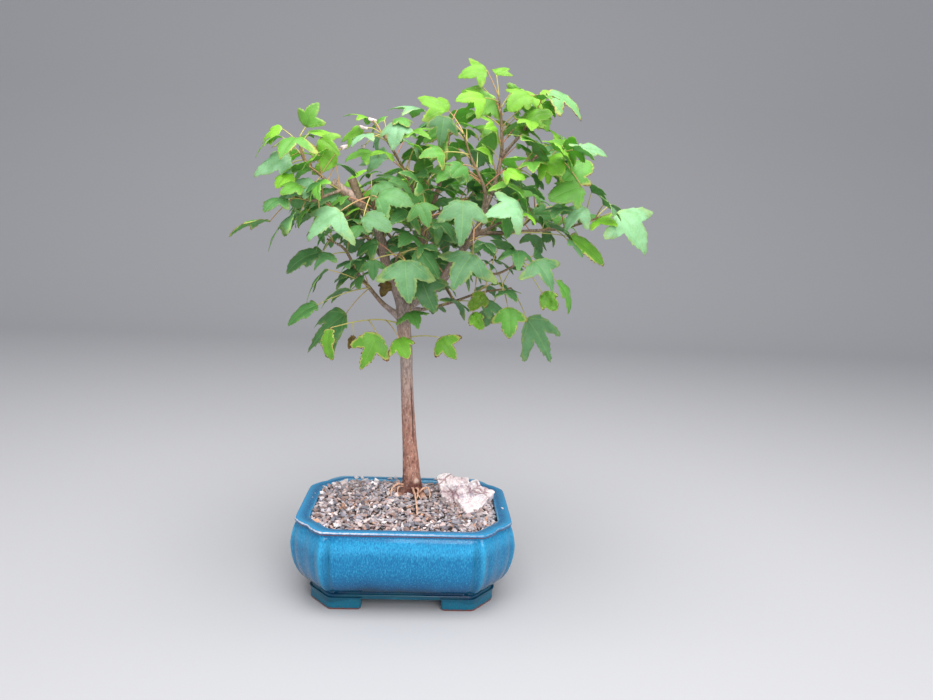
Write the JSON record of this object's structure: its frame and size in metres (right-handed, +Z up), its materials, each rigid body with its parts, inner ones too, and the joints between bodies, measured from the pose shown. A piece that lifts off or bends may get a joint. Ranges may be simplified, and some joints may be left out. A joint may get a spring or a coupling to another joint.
{
  "type": "bonsai tree in a pot",
  "caption": "Small three-lobed-leaf maple bonsai in a blue glazed rectangular pot with cut corners, gravel top dressing and a pale quartz rock.",
  "frame": {"origin": "centre of the whole plant's bounding box, at the bottom of the pot's feet", "axes": "+Z up, -Y towards the front of the pot, +X to the right, on the rock's side"},
  "size_m": [0.3844, 0.225, 0.5054],
  "materials": {
    "glaze": "glossy, flecked cobalt and turquoise",
    "mesh_plastic": "matte black",
    "wire": "dull drawn wire",
    "soil": "damp, crumbly",
    "gravel": "mixed grey, tan and orange chips, dry",
    "quartz": "broken quartz, pinkish white with brown veins",
    "bark": "fine rough bark",
    "leaf": "satin, slightly translucent"
  },
  "bodies": {
    "root": {"pot": "glaze", "drain_screen_left": "mesh_plastic", "drain_screen_right": "mesh_plastic", "screen_wire_left": "wire", "screen_wire_right": "wire", "potting_soil": "soil", "gravel_top_dressing": "gravel", "accent_rock": "quartz", "trunk_and_branches": "bark", "leaf_left_01": "leaf", "leaf_left_02": "leaf", "leaf_left_03": "leaf", "leaf_left_04": "leaf", "leaf_left_05": "leaf", "leaf_left_06": "leaf", "leaf_left_07": "leaf", "leaf_left_08": "leaf", "leaf_left_09": "leaf", "leaf_left_10": "leaf", "leaf_left_11": "leaf", "leaf_front_01": "leaf", "leaf_front_02": "leaf", "leaf_front_03": "leaf", "leaf_front_04": "leaf", "leaf_front_05": "leaf", "leaf_front_06": "leaf", "leaf_front_07": "leaf", "leaf_front_08": "leaf", "leaf_front_09": "leaf", "leaf_top_01": "leaf", "leaf_top_02": "leaf", "leaf_top_03": "leaf", "leaf_top_04": "leaf", "leaf_top_05": "leaf", "leaf_top_06": "leaf", "leaf_top_07": "leaf", "leaf_top_08": "leaf", "leaf_right_01": "leaf", "leaf_right_02": "leaf", "leaf_right_03": "leaf", "leaf_right_04": "leaf", "leaf_right_05": "leaf", "leaf_right_06": "leaf", "leaf_right_07": "leaf", "leaf_right_08": "leaf", "leaf_right_09": "leaf", "leaf_right_10": "leaf", "leaf_right_11": "leaf", "leaf_back_01": "leaf", "leaf_back_02": "leaf", "leaf_back_03": "leaf", "leaf_back_04": "leaf", "leaf_back_05": "leaf", "leaf_back_06": "leaf", "leaf_back_07": "leaf", "leaf_back_08": "leaf", "leaf_back_09": "leaf"}
  },
  "joints": []
}
